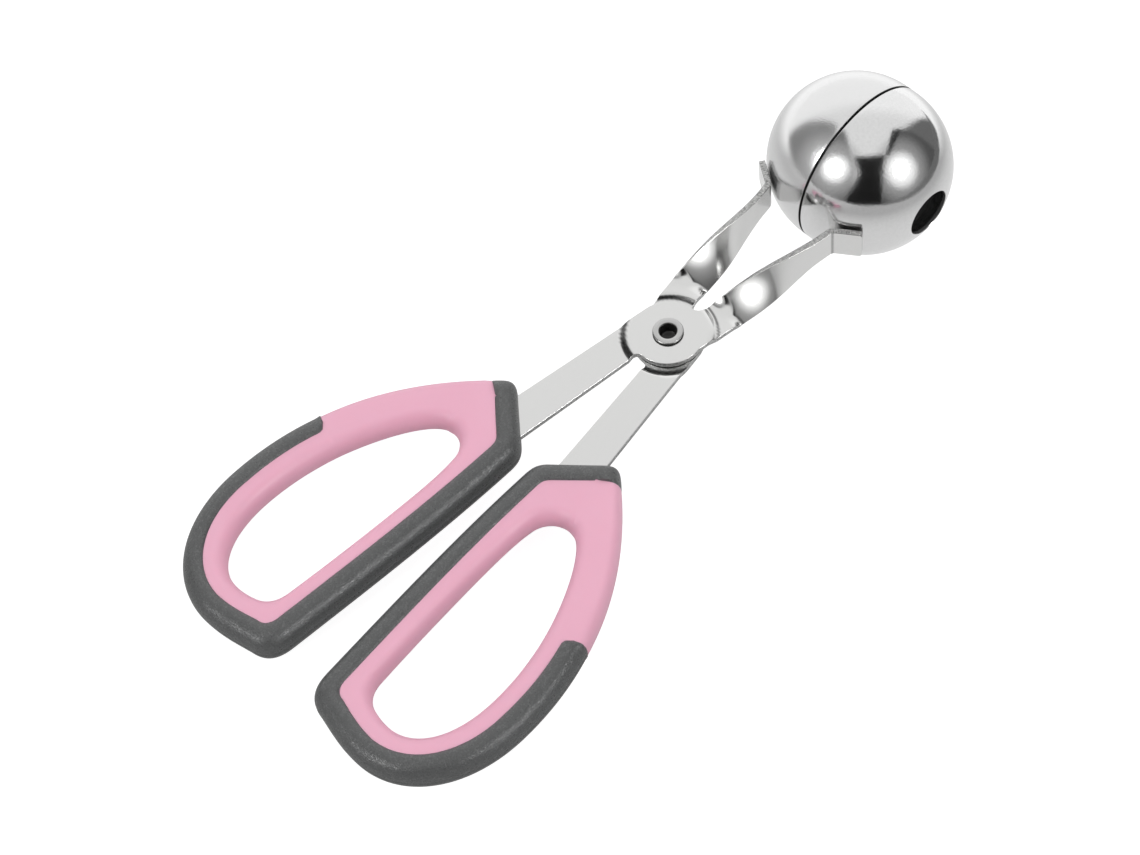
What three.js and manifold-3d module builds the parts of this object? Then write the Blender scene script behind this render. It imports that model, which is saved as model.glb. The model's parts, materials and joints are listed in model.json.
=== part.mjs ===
// Meatball tongs: two crossed steel strips on one rivet, each with a half-round cup at its front end
// and a two-colour plastic finger loop at its rear end. All sizes are in millimetres.
//
// The tool is drawn lying flat, with the pivot's axis on Z through the origin, the cups towards +X and
// the left loop towards +Y. One arm is made, and the other is the same arm turned over about X.
// At the end the whole tool is tipped about Y and lifted until the ball and the loops' rear ends
// stand on Z = 0, as the tool lies on a table.
import * as THREE from 'three';
import { mergeVertices } from 'three/addons/utils/BufferGeometryUtils.js';
import Module from 'manifold-3d';

const wasm = await Module();
wasm.setup();

// Ball, as two cups
const ballRadius = 22.8;
const cupWall = 1.0;
const rimBand = 1.2;
const partingGap = 0.6;
const drainRadius = 6.5;
const pivotToBall = 70.7;

// Steel strips
const stripThickness = 1.6;
const discRadius = 9.15;
const discGap = 0.3;
const stepInset = 0.75;
const stepRun = 2.4;
const stepSkew = 1.4;
const rootFillet = 2.0;
const armShoulder = 0.45;
const armRootWidth = 8.2;
const armTipWidth = 9.1;
const armTaper = 27.5;
const armLift = 0.27;
const armAngle = THREE.MathUtils.degToRad(7.2);
const bendRadius = 2.4;
const tabAngle = THREE.MathUtils.degToRad(56);
const tabLength = 6.75;
const tabWidth = 9.1;
const tabRun = 8;
const rearRootWidth = 8.6;
const rearEndWidth = 10.3;
const rearAngle = THREE.MathUtils.degToRad(8.1);
const tangEnd = 53.4;
const anchorRadius = 2.2;
const anchorInset = 4.6;

// The arm's quarter twist, as two smooth ramps along it: start, run and share of the quarter turn.
const quickTwist = { start: 13.4, run: 4, share: 0.245 };
const slowTwist = { start: 10, run: 36, share: 0.755 };

// Rivet
const shankRadius = 2.95;
const shankPlay = 0.15;
const headRadius = 4.6;
const headHeight = 0.9;
const ringRadius = 3.9;
const ringHeight = 0.65;
const ringBore = 2.15;
const ringLip = 0.3;
const boreDepth = 3.6;
const headRound = 0.45;
const seatGap = 0.2;

// Finger loops
const loopFront = 36.2;
const loopLength = 94.75;
const loopWidth = 48.15;
const loopInset = 2.4;
const rearBar = 10.8;
const sideBar = 10.8;
const fingerLength = 64.75;
const fingerWidth = 26.55;
const coreHalf = 4.25;
const coreOuterRound = 3.0;
const coreInnerRound = 3.6;
const gripWidth = 5.5;
const gripCrown = 5.0;
const gripCrownInset = 4.1;
const gripSeamStep = 0.2;
const gripShoulderShare = 0.35;
const tongueHalf = 2.3;
const tongueInset = 2.6;
const mouldGap = 0.3;
const slotOverrun = 8;

// Loop outline as a chain of cubic curves, three points a curve, in shares of the loop's length behind
// its tip and of its width out from its straight side. It runs from the outer side round the tip, down
// the slanted front, back along the straight side, round the rear and forward along the outer curve.
const outlineShares = [
  [0.034, 0.415], [-0.007, 0.334], [-0.011, 0.324],
  [0.021, 0.251], [0.051, 0.184], [0.082, 0.113],
  [0.11, 0.05], [0.129, 0.008], [0.146, 0],
  [0.173, 0], [0.409, 0], [0.652, 0.039],
  [0.895, 0.077], [0.948, 0.085], [0.972, 0.127],
  [0.978, 0.21], [0.988, 0.303], [1.001, 0.386],
  [1, 0.511], [0.998, 0.791], [0.863, 1],
  [0.673, 1], [0.584, 1], [0.494, 0.972],
  [0.412, 0.916], [0.274, 0.829], [0.146, 0.661],
];
// The finger opening as a chain of as many curves, in shares of its own length and width.
const openingShares = [
  [0.003, 0.324], [0, 0.29], [-0.002, 0.26],
  [0, 0.226], [0.002, 0.185], [0.012, 0.124],
  [0.029, 0.087], [0.043, 0.053], [0.062, 0.023],
  [0.09, 0.009], [0.21, -0.019], [0.565, 0.023],
  [0.874, 0.096], [0.928, 0.109], [0.973, 0.169],
  [0.988, 0.294], [0.996, 0.362], [1.001, 0.437],
  [1, 0.512], [0.998, 0.795], [0.882, 1],
  [0.681, 1], [0.581, 1], [0.473, 0.96],
  [0.368, 0.881], [0.225, 0.772], [0.019, 0.52],
];
// Where the colour seam lies from the outline at the start of each curve, in shares of the grip's width,
// first backwards and then outwards. The last row ends the grip, and the seam stops there.
const seamShares = [
  [0.53, -0.83], [0.87, 0.51], [0.62, 0.84], [0.15, 1.02], [-0.25, 1.03],
  [-1, 0.45], [-1, 0], [0, -1], [0.37, -0.93],
];
const curveSteps = [3, 2, 3, 4, 4, 2, 6, 3, 5];
const gripCurves = seamShares.length - 1;
// Power of the rounded edges' curve, a little fuller than a circle's.
const roundPower = 2.3;

// Mesh fineness
const roundSides = 36;
const smallSides = 12;
const wallSteps = 9;
const stripColumns = 6;
const filletSteps = 5;
const discSteps = 8;
const quickSteps = 6;
const slowSteps = 12;
const bendSteps = 4;
const edgeSteps = 3;
const crownSteps = 4;
const solveSteps = 40;
const weldDistance = 1e-5;
// Where the strip has rings beside the pressed step, in shares of the step's run, and behind it.
const stepStopShares = [1.5, 1.2, 0.9, 0.6, 0.3];
const rearStopShare = 0.4;

// Mesh helpers

const vec = (x, y, z) => new THREE.Vector3(x, y, z);
const mix = THREE.MathUtils.lerp;

function meshFrom(points, triangles) {
  const geometry = new THREE.BufferGeometry();
  const numbers = points.flatMap((p) => [p.x, p.y, p.z]);
  geometry.setAttribute('position', new THREE.Float32BufferAttribute(numbers, 3));
  geometry.setIndex(triangles.flat());
  return geometry;
}

// A skin through rings of equal point count. It closes on itself, or gets flat ends cut as the given
// triangulation of one ring.
function skin(rings, endTriangles) {
  const count = rings[0].length;
  const triangles = [];
  const last = endTriangles ? rings.length - 1 : rings.length;
  for (let i = 0; i < last; i += 1) {
    const a = i * count;
    const b = ((i + 1) % rings.length) * count;
    for (let j = 0; j < count; j += 1) {
      const k = (j + 1) % count;
      triangles.push([a + j, a + k, b + k], [a + j, b + k, b + j]);
    }
  }
  if (endTriangles) {
    const top = last * count;
    for (const [p, q, r] of endTriangles) {
      triangles.push([r, q, p], [top + p, top + q, top + r]);
    }
  }
  return meshFrom(rings.flat(), triangles);
}

// Merged copy with only positions, without the triangles that merging has flattened.
function welded(geometry) {
  const bare = geometry.clone();
  bare.deleteAttribute('normal');
  bare.deleteAttribute('uv');
  const merged = mergeVertices(bare, weldDistance);
  const index = merged.getIndex().array;
  const kept = [];
  for (let i = 0; i < index.length; i += 3) {
    const [a, b, c] = index.slice(i, i + 3);
    if (a !== b && b !== c && c !== a) kept.push(a, b, c);
  }
  merged.setIndex(kept);
  return merged;
}

function solidOf(geometry) {
  const mesh = welded(geometry);
  return new wasm.Manifold(new wasm.Mesh({
    numProp: 3,
    vertProperties: Float32Array.from(mesh.getAttribute('position').array),
    triVerts: Uint32Array.from(mesh.getIndex().array),
  }));
}

function geometryOf(solid) {
  const mesh = solid.getMesh();
  const geometry = new THREE.BufferGeometry();
  geometry.setAttribute('position', new THREE.BufferAttribute(mesh.vertProperties.slice(), 3));
  geometry.setIndex(new THREE.BufferAttribute(mesh.triVerts.slice(), 1));
  return geometry;
}

function carve(geometry, ...tools) {
  return geometryOf(tools.reduce((solid, tool) => solid.subtract(solidOf(tool)), solidOf(geometry)));
}

function uprightCylinder(radius, height, place, sides) {
  const geometry = new THREE.CylinderGeometry(radius, radius, height, sides);
  geometry.rotateX(Math.PI / 2);
  geometry.translate(place.x, place.y, place.z);
  return geometry;
}

const smooth = (t) => THREE.MathUtils.smoothstep(t, 0, 1);

// Steel strip
//
// Both stretches are straight tapering strips whose outer edge leaves the pivot disc as a tangent, or
// from a small shoulder inside it. A stretch is measured along its centre line from the foot of the
// pivot, and across it outwards.

function stretch(angle, forward, rootWidth, endWidth, run, shoulder) {
  const along = vec(forward * Math.cos(angle), -forward * Math.sin(angle), 0);
  const out = vec(-forward * Math.sin(angle), -forward * Math.cos(angle), 0);
  const half = (s) => mix(rootWidth, endWidth, Math.min(s / run, 1)) / 2;
  const offset = discRadius - shoulder - rootWidth / 2;
  const foot = Math.sqrt(discRadius ** 2 - (discRadius - shoulder) ** 2);
  const place = (s, across) => along.clone().multiplyScalar(s).addScaledVector(out, offset + across);
  return { along, out, half, offset, foot, place };
}

// Where the fillet between the disc and the stretch's inner edge has its centre and its two ends.
function rootArc(part) {
  const reach = discRadius + rootFillet;
  let s = reach;
  let across = 0;
  for (let i = 0; i < solveSteps; i += 1) {
    across = part.offset - part.half(s) - rootFillet;
    s = Math.sqrt(reach * reach - across * across);
  }
  const centre = part.place(s, across - part.offset);
  const onEdge = part.place(s, -part.half(s));
  const onDisc = centre.clone().setLength(discRadius);
  return { s, centre, onEdge, onDisc };
}

function arcPoints(centre, from, to, steps, clockwise) {
  const a = Math.atan2(from.y - centre.y, from.x - centre.x);
  let sweep = Math.atan2(to.y - centre.y, to.x - centre.x) - a;
  if (clockwise && sweep > 0) sweep -= 2 * Math.PI;
  if (!clockwise && sweep < 0) sweep += 2 * Math.PI;
  const radius = from.distanceTo(centre);
  return Array.from({ length: steps }, (_, i) => {
    const angle = a + (sweep * (i + 1)) / steps;
    return vec(centre.x + radius * Math.cos(angle), centre.y + radius * Math.sin(angle), 0);
  });
}

// The edges of the flat middle of the strip, as matched points on its left and right side,
// from the handle stretch across the disc to the arm's root.
function middleEdges(rear, front, rearStations) {
  const centre = vec(0, 0, 0);
  const rearArc = rootArc(rear);
  const frontArc = rootArc(front);
  const left = rearStations.map((s) => rear.place(s, rear.half(s)));
  const right = rearStations.map((s) => rear.place(s, -rear.half(s)));
  left.push(rear.place(rearArc.s, rear.half(rearArc.s)));
  right.push(rearArc.onEdge);
  const rearFoot = rear.place(rear.foot, rear.half(rear.foot));
  const frontFoot = front.place(front.foot, front.half(front.foot));
  for (let i = 1; i <= filletSteps; i += 1) {
    const s = mix(rearArc.s, rear.foot, i / filletSteps);
    left.push(rear.place(s, rear.half(s)));
  }
  right.push(...arcPoints(rearArc.centre, rearArc.onEdge, rearArc.onDisc, filletSteps, true));
  left.push(...arcPoints(centre, rearFoot, frontArc.onDisc, discSteps, true));
  right.push(...arcPoints(centre, rearArc.onDisc, frontFoot, discSteps, false));
  left.push(...arcPoints(frontArc.centre, frontArc.onDisc, frontArc.onEdge, filletSteps, false));
  for (let i = 1; i <= filletSteps; i += 1) {
    const s = mix(front.foot, frontArc.s, i / filletSteps);
    right.push(front.place(s, front.half(s)));
  }
  return { left, right, frontReach: frontArc.s };
}

// The disc lies half a stack above the tool's mid-plane, and the strip drops to it over the pressed step.
const discLift = (stripThickness + discGap) / 2;
const stepStart = discRadius + stepInset;
const liftAt = (x, y) => {
  const down = THREE.MathUtils.clamp((Math.hypot(x, y) - stepStart) / stepRun, 0, 1);
  return discLift * (1 - smooth(down ** stepSkew));
};

// One ring of the strip: its top from one edge to the other, then its underside back.
function flatRing(a, b) {
  const columns = Array.from({ length: stripColumns }, (_, i) => a.clone().lerp(b, i / (stripColumns - 1)));
  const top = columns.map((p) => vec(p.x, p.y, liftAt(p.x, p.y) + stripThickness / 2));
  const under = columns.map((p) => vec(p.x, p.y, liftAt(p.x, p.y) - stripThickness / 2));
  return [...top, ...under.reverse()];
}

// The arm beyond its root: the centre line runs straight, then bends flat against the cup. The strip
// turns a quarter on the way, so that its top face ends up facing outwards. It turns about a line a
// little outside its centre, which lifts it, and comes back to the mid-plane before the bend.
const tabShare = (bendAt, s) => smooth((s - bendAt + tabRun) / tabRun);
const twistAt = (s) => [quickTwist, slowTwist].reduce(
  (turn, { start, run, share }) => turn + (Math.PI / 2) * share * smooth((s - start) / run),
  0,
);

function armFrame(front, bendAt, s) {
  const bend = tabAngle - armAngle;
  const bendRun = bendRadius * bend;
  const start = front.place(Math.min(s, bendAt), 0);
  const turned = THREE.MathUtils.clamp((s - bendAt) / bendRadius, 0, bend);
  const heading = armAngle + turned;
  const ahead = vec(Math.cos(heading), -Math.sin(heading), 0);
  if (s > bendAt) {
    const hub = start.clone().addScaledVector(front.out, bendRadius);
    const spoke = vec(-Math.sin(heading), -Math.cos(heading), 0);
    start.copy(hub).addScaledVector(spoke, -bendRadius);
    start.addScaledVector(ahead, Math.max(s - bendAt - bendRun, 0));
  }
  const twist = twistAt(s);
  start.z = armLift * Math.sin(twist) * (1 - tabShare(bendAt, s));
  const side = vec(Math.sin(heading), Math.cos(heading), 0);
  const across = side.clone().multiplyScalar(Math.cos(twist));
  across.z = Math.sin(twist);
  const normal = side.clone().multiplyScalar(-Math.sin(twist));
  normal.z = Math.cos(twist);
  return { start, across, normal, ahead };
}

function armRing(front, bendAt, s, trim = 0) {
  const { start, across, normal } = armFrame(front, bendAt, s);
  const half = mix(front.half(s), tabWidth / 2, tabShare(bendAt, s)) - trim;
  const columns = Array.from({ length: stripColumns }, (_, i) => {
    const side = mix(half, -half, i / (stripColumns - 1));
    const point = start.clone().addScaledVector(across, side);
    return point.setZ(point.z + liftAt(point.x, point.y));
  });
  const raise = (p) => p.clone().addScaledVector(normal, stripThickness / 2);
  const lower = (p) => p.clone().addScaledVector(normal, -stripThickness / 2);
  return [...columns.map(raise), ...columns.map(lower).reverse()];
}

// The bend comes where the tab's inner face lies on the cup, with the welded sheets' small gap.
function findBend(front) {
  const tabOut = vec(-Math.sin(tabAngle), -Math.cos(tabAngle), 0);
  const cupCentre = vec(pivotToBall, -(partingGap / 2 + rimBand), 0);
  const wanted = ballRadius + mouldGap + stripThickness / 2;
  const distanceAt = (s) => {
    const { start } = armFrame(front, s, s + bendRadius * (tabAngle - armAngle));
    return start.setZ(0).sub(cupCentre).dot(tabOut);
  };
  const near = distanceAt(0);
  const far = distanceAt(pivotToBall);
  return (pivotToBall * (wanted - near)) / (far - near);
}

const rearStretch = stretch(rearAngle, -1, rearRootWidth, rearEndWidth, tangEnd, 0);
const frontStretch = stretch(armAngle, 1, armRootWidth, armTipWidth, armTaper, armShoulder);
const bendAt = findBend(frontStretch);

const stopsBetween = (from, to, steps) => (
  Array.from({ length: steps + 1 }, (_, i) => mix(from, to, i / steps))
);

function bladeGeometry() {
  const bendEnd = bendAt + bendRadius * (tabAngle - armAngle);
  const armEnd = bendEnd + tabLength;
  const stepStops = stepStopShares.map((share) => stepStart + stepRun * share);
  const rearStations = [tangEnd, mix(stepStops[0], tangEnd, rearStopShare), ...stepStops];
  const { left, right, frontReach } = middleEdges(rearStretch, frontStretch, rearStations);
  const rings = left.map((p, i) => flatRing(p, right[i]));
  const tabTrim = stripThickness / 2;
  const quickEnd = quickTwist.start + quickTwist.run;
  const armStops = [
    ...[...stepStops].reverse().filter((s) => s > frontReach && s < quickTwist.start),
    ...stopsBetween(quickTwist.start, quickEnd, quickSteps),
    ...stopsBetween(quickEnd, bendAt, slowSteps).slice(1),
    ...stopsBetween(bendAt, bendEnd, bendSteps).slice(1),
    armEnd - tabTrim,
  ];
  rings.push(...armStops.map((s) => armRing(frontStretch, bendAt, s)));
  rings.push(armRing(frontStretch, bendAt, armEnd, tabTrim));
  const last = 2 * stripColumns - 1;
  const ends = [];
  for (let i = 0; i < stripColumns - 1; i += 1) {
    ends.push([i, i + 1, last - i], [i + 1, last - i - 1, last - i]);
  }
  return skin(rings, ends);
}

const anchorPlace = rearStretch.place(tangEnd - anchorInset, 0);
const stackHalf = discGap / 2 + stripThickness;

function blade() {
  const cutHeight = 2 * (stackHalf + stripThickness);
  const pivotHole = uprightCylinder(shankRadius + shankPlay, cutHeight, vec(0, 0, 0), roundSides);
  const anchorHole = uprightCylinder(anchorRadius, cutHeight, anchorPlace, smallSides);
  return carve(bladeGeometry(), pivotHole, anchorHole);
}

// Cup: revolved wall with a short straight rim, open at the pole. It is turned so that the pole
// points to -Y.
function cup() {
  const innerRadius = ballRadius - cupWall;
  const wall = (radius, from, to) => Array.from({ length: wallSteps + 1 }, (_, i) => {
    const angle = mix(from, to, i / wallSteps);
    return new THREE.Vector2(radius * Math.cos(angle), rimBand + radius * Math.sin(angle));
  });
  const outer = wall(ballRadius, 0, Math.acos(drainRadius / ballRadius));
  const inner = wall(innerRadius, Math.acos(drainRadius / innerRadius), 0);
  const profile = [
    new THREE.Vector2(innerRadius, 0),
    new THREE.Vector2(ballRadius, 0),
    ...outer,
    ...inner,
    new THREE.Vector2(innerRadius, 0),
  ];
  const geometry = new THREE.LatheGeometry(profile, roundSides);
  geometry.rotateX(Math.PI);
  geometry.translate(pivotToBall, -partingGap / 2, 0);
  return welded(geometry);
}

// Rivet: flat head under the lower disc, shank through both discs, rolled ring with a blind bore on top.
function rivet() {
  const headTop = -stackHalf - seatGap;
  const ringFoot = stackHalf + seatGap;
  const ringTop = ringFoot + ringHeight;
  const profile = [
    [0, headTop - headHeight],
    [headRadius - headRound, headTop - headHeight],
    [headRadius, headTop - headHeight + headRound],
    [headRadius, headTop],
    [shankRadius, headTop],
    [shankRadius, ringFoot],
    [ringRadius, ringFoot],
    [ringRadius, ringTop - ringLip],
    [ringRadius - ringLip, ringTop],
    [ringBore + ringLip, ringTop],
    [ringBore, ringTop - ringLip],
    [ringBore, ringTop - boreDepth],
    [0, ringTop - boreDepth],
  ].map(([r, z]) => new THREE.Vector2(r, z));
  const geometry = new THREE.LatheGeometry(profile, roundSides);
  geometry.rotateX(Math.PI / 2);
  return welded(geometry);
}

// Finger loop
//
// Every station round the loop has three plan points: on the outline, on the colour seam and on the
// finger opening. The seam follows the outline's curves, turned and shrunk to its own end points.

const bezierAt = (points, t) => new THREE.CubicBezierCurve(...points).getPoint(t);

function chain(shares, place) {
  const points = shares.map(place);
  return Array.from({ length: shares.length / 3 }, (_, i) => (
    [0, 1, 2, 3].map((j) => points[(3 * i + j) % points.length])
  ));
}

function loopStations() {
  const outline = chain(outlineShares, ([back, out]) => new THREE.Vector2(
    -(loopFront + loopLength * back),
    loopInset + loopWidth * out,
  ));
  const fingerFront = loopFront + loopLength - rearBar - fingerLength;
  const opening = chain(openingShares, ([back, out]) => new THREE.Vector2(
    -(fingerFront + fingerLength * back),
    loopInset + sideBar + fingerWidth * out,
  ));
  const seamEnds = seamShares.map(([back, out], i) => {
    const reach = new THREE.Vector2(-back, out).multiplyScalar(gripWidth);
    return reach.add(outline[i][0]);
  });
  const stations = [];
  outline.forEach((curve, i) => {
    for (let j = 0; j < curveSteps[i]; j += 1) {
      const t = j / curveSteps[i];
      const rim = bezierAt(curve, t);
      const hole = bezierAt(opening[i], t);
      stations.push({ rim, hole, seam: seamPoint(curve, seamEnds, i, rim, hole), curve: i, t });
    }
  });
  return stations;
}

function seamPoint(curve, seamEnds, i, rim, hole) {
  if (i >= gripCurves) {
    return rim.clone().add(hole.clone().sub(rim).setLength(gripWidth));
  }
  const from = curve[3].clone().sub(curve[0]);
  const to = seamEnds[i + 1].clone().sub(seamEnds[i]);
  const part = rim.clone().sub(curve[0]);
  const scale = 1 / from.lengthSq();
  const re = (to.x * from.x + to.y * from.y) * scale;
  const im = (to.y * from.x - to.x * from.y) * scale;
  return new THREE.Vector2(part.x * re - part.y * im, part.x * im + part.y * re).add(seamEnds[i]);
}

// A quarter of a rounded edge: distance in from the edge, and height, from the flat to the mid-plane.
function quarterRound(inset, height, steps) {
  return Array.from({ length: steps + 1 }, (_, i) => {
    const angle = (Math.PI / 2) * (1 - i / steps);
    const bulge = 2 / roundPower;
    return [inset * (1 - Math.cos(angle) ** bulge), height * Math.sin(angle) ** bulge];
  });
}

// Plan place in a section, measured in from the rim, on from the seam or back from the opening.
function sectionPoint(station, from, distance, height) {
  const { rim, seam, hole } = station;
  const plan = {
    rim: () => rim.clone().lerp(seam, distance / gripWidth),
    seam: () => seam.clone().add(hole.clone().sub(seam).setLength(distance)),
    hole: () => hole.clone().add(seam.clone().sub(hole).setLength(distance)),
  }[from]();
  return vec(plan.x, plan.y, height);
}

const mirrored = (half) => half.map(([from, d, z]) => [from, d, -z]).reverse();

const innerRound = quarterRound(coreInnerRound, coreHalf, edgeSteps).map(([d, z]) => ['hole', d, z]);
const tongueSide = [
  ['seam', mouldGap, coreHalf],
  ['seam', mouldGap, tongueHalf],
  ['rim', tongueInset, tongueHalf],
  ['rim', tongueInset, 0],
];
const bareSide = quarterRound(coreOuterRound, coreHalf, edgeSteps).map(([d, z]) => ['rim', d, z]);

function coreRing(station, side) {
  const half = [...[...innerRound].reverse(), ...side];
  const full = [...half, ...mirrored(half).slice(1, -1)].reverse();
  return full.map(([from, d, z]) => sectionPoint(station, from, d, z));
}

const gripSeamHeight = coreHalf + gripSeamStep;
const gripTop = [
  ...quarterRound(gripCrownInset, gripCrown, crownSteps).reverse().map(([d, z]) => ['rim', d, z]),
  ['rim', (gripCrownInset + gripWidth) / 2, mix(gripCrown, gripSeamHeight, gripShoulderShare)],
  ['rim', gripWidth, gripSeamHeight],
];
const gripInside = [
  ['rim', gripWidth, tongueHalf + mouldGap],
  ['rim', tongueInset - mouldGap, tongueHalf + mouldGap],
];

const gripHalf = [...gripTop, ...gripInside];
const gripSection = [...gripHalf, ...mirrored(gripHalf).slice(0, -1)];

function gripRing(station) {
  return gripSection.map(([from, d, z]) => sectionPoint(station, from, d, z));
}

// A station moved along the loop by a small distance, away from the core's step.
function nudged(station, towards, distance) {
  const across = station.seam.clone().sub(station.rim).normalize();
  const along = new THREE.Vector2(-across.y, across.x);
  if (along.dot(towards.rim.clone().sub(station.rim)) < 0) along.negate();
  along.multiplyScalar(distance);
  return {
    rim: station.rim.clone().add(along),
    seam: station.seam.clone().add(along),
    hole: station.hole.clone().add(along),
  };
}

// The strip's space in the mouldings, without the peg that stands in its anchor hole.
function tangCutter() {
  const start = tangEnd + mouldGap;
  const mouth = loopFront - slotOverrun;
  const corner = (s, sign) => {
    const p = rearStretch.place(s, sign * (rearStretch.half(s) + mouldGap));
    return new THREE.Vector2(p.x, p.y);
  };
  const shape = new THREE.Shape([
    corner(start, 1), corner(start, -1), corner(mouth, -1), corner(mouth, 1),
  ]);
  const height = stripThickness + 2 * mouldGap;
  const slot = new THREE.ExtrudeGeometry(shape, { depth: height, bevelEnabled: false });
  slot.translate(0, 0, -height / 2);
  const peg = uprightCylinder(anchorRadius - mouldGap, 2 * height, anchorPlace, smallSides);
  return solidOf(slot).subtract(solidOf(peg));
}

function loopPieces() {
  const stations = loopStations();
  const endOfGrip = stations.findIndex((s) => s.curve === gripCurves);
  const covered = stations.slice(0, endOfGrip + 1);
  const bare = [...stations.slice(endOfGrip), stations[0]];
  const coreRings = [
    ...covered.map((s) => coreRing(s, tongueSide)),
    ...bare.map((s) => coreRing(s, bareSide)),
  ];
  const first = nudged(covered[0], covered[1], mouldGap);
  const last = nudged(covered[endOfGrip], covered[endOfGrip - 1], mouldGap);
  const gripStations = [first, ...covered.slice(1, -1), last];
  const gripRings = gripStations.map(gripRing);
  const flatSection = gripSection.map(([, d, z]) => new THREE.Vector2(d, z));
  const ends = THREE.ShapeUtils.triangulateShape(flatSection, []).map((face) => face.reverse());
  const cutter = tangCutter();
  return {
    core: geometryOf(solidOf(skin(coreRings)).subtract(cutter)),
    grip: geometryOf(solidOf(skin(gripRings, ends)).subtract(cutter)),
  };
}

// Materials

function finish(colour, roughness, metalness) {
  return new THREE.MeshStandardMaterial({ color: colour, roughness, metalness });
}

const stripSteel = finish(0xd0d0cf, 0.28, 1);
const polishedSteel = finish(0xd8d8d8, 0.08, 1);
const rivetSteel = finish(0xbdbdbc, 0.25, 1);
const pinkPlastic = finish(0xe8b0c5, 0.42, 0);
const greySoftPlastic = finish(0x4b4d4d, 0.6, 0);

function named(name, geometry, material) {
  const mesh = new THREE.Mesh(geometry, material);
  mesh.name = name;
  return mesh;
}

// Assembly

const bladeShape = blade();
const cupShape = cup();
const loop = loopPieces();

function arm(bladeName, cupName, coreName, gripName) {
  const group = new THREE.Group();
  group.add(named(bladeName, bladeShape, stripSteel));
  group.add(named(cupName, cupShape, polishedSteel));
  group.add(named(coreName, loop.core, pinkPlastic));
  group.add(named(gripName, loop.grip, greySoftPlastic));
  return group;
}

const tool = new THREE.Group();
tool.add(arm('blade_upper', 'cup_right', 'handle_core_left', 'grip_left'));
const turnedOver = arm('blade_lower', 'cup_left', 'handle_core_right', 'grip_right');
turnedOver.rotation.x = Math.PI;
tool.add(turnedOver);
tool.add(named('pivot_rivet', rivet(), rivetSteel));

// How low a shape reaches when the tool is tipped front end up. Both arms are alike above and below
// the pivot's plane, so one arm's shapes tell for both.
function lowest(geometry, tip) {
  const place = geometry.getAttribute('position');
  let low = Infinity;
  for (let i = 0; i < place.count; i += 1) {
    low = Math.min(low, place.getX(i) * Math.sin(tip) - Math.abs(place.getZ(i)) * Math.cos(tip));
  }
  return low;
}

function restingTip() {
  let low = 0;
  let high = armAngle;
  for (let i = 0; i < solveSteps; i += 1) {
    const tip = (low + high) / 2;
    if (lowest(cupShape, tip) < lowest(loop.grip, tip)) low = tip;
    else high = tip;
  }
  return low;
}

const tip = restingTip();
tool.rotation.y = -tip;
const tongs = new THREE.Group();
tongs.add(tool);
tongs.updateMatrixWorld(true);
const extent = new THREE.Box3().setFromObject(tongs, true);
const middle = extent.getCenter(vec(0, 0, 0));
tool.position.set(-middle.x, -middle.y, -extent.min.z);

export default tongs;
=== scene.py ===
"""Meatball tongs: the visible pieces with their finishes, the studio light and the camera.

Shapes are drawn in the tool's own plan, in millimetres: the pivot on Z through the origin, the ball
towards +X and the left loop towards +Y. One arm is drawn, and the other is that arm turned over
about X. settle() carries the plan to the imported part's own hinge, in metres.
"""
import json
import math

import bpy
import numpy as np
from mathutils import Matrix, Vector


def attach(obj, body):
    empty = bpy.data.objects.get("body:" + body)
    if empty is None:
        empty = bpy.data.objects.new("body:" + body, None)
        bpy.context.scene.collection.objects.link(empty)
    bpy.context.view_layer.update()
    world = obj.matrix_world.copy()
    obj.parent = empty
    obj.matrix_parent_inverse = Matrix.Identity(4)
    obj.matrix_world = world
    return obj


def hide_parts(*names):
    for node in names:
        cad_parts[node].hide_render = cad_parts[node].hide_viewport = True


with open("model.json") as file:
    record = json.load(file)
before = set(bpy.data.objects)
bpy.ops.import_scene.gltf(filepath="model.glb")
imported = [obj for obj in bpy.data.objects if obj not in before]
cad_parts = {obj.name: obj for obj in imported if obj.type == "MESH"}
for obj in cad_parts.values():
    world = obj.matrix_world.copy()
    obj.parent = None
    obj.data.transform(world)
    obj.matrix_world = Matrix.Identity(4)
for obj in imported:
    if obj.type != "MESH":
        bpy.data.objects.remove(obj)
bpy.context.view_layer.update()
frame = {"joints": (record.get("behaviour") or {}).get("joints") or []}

MM = 0.001

# Ball, as two cups
BALL_RADIUS = 22.8
CUP_WALL = 1.0
RIM_BAND = 1.2
PARTING_GAP = 0.6
DRAIN_RADIUS = 6.5
PIVOT_TO_BALL = 70.7
RIM_ROUND = 0.16
DRAIN_EASE = 0.1
DRAIN_LIP = 0.12
# How strongly the cup's inside takes the rim's dullness and painted shade.
INSIDE_MARK = 0.6

# Steel strips
STRIP_THICKNESS = 1.6
DISC_RADIUS = 9.15
DISC_GAP = 0.3
STEP_INSET = 0.75
STEP_RUN = 2.4
STEP_SKEW = 1.4
ROOT_FILLET = 2.0
ARM_SHOULDER = 0.45
ARM_ROOT_WIDTH = 8.2
ARM_TIP_WIDTH = 9.1
ARM_TAPER = 27.5
ARM_LIFT = 0.27
ARM_ANGLE = math.radians(7.2)
BEND_RADIUS = 2.4
TAB_ANGLE = math.radians(56)
TAB_LENGTH = 6.75
TAB_WIDTH = 9.1
TAB_RUN = 8.0
WELD_GAP = 0.3
REAR_ROOT_WIDTH = 8.6
REAR_END_WIDTH = 10.3
REAR_ANGLE = math.radians(8.1)
TANG_END = 53.4
SHEARED_ROUND = 0.12
HOLDING_STRIP = 0.06
TAB_CORNER = 0.9
WELD_DENT = 0.1
WELD_DENT_RADIUS = 0.9
WELD_PITCH = 3.8
HOLE_PLAY = 0.15
WALL_STEP = 0.25
# The arm's quarter twist, as two smooth ramps along it: start, run and share of the quarter turn.
TWISTS = ((13.4, 4.0, 0.245), (10.0, 36.0, 0.755))
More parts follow.
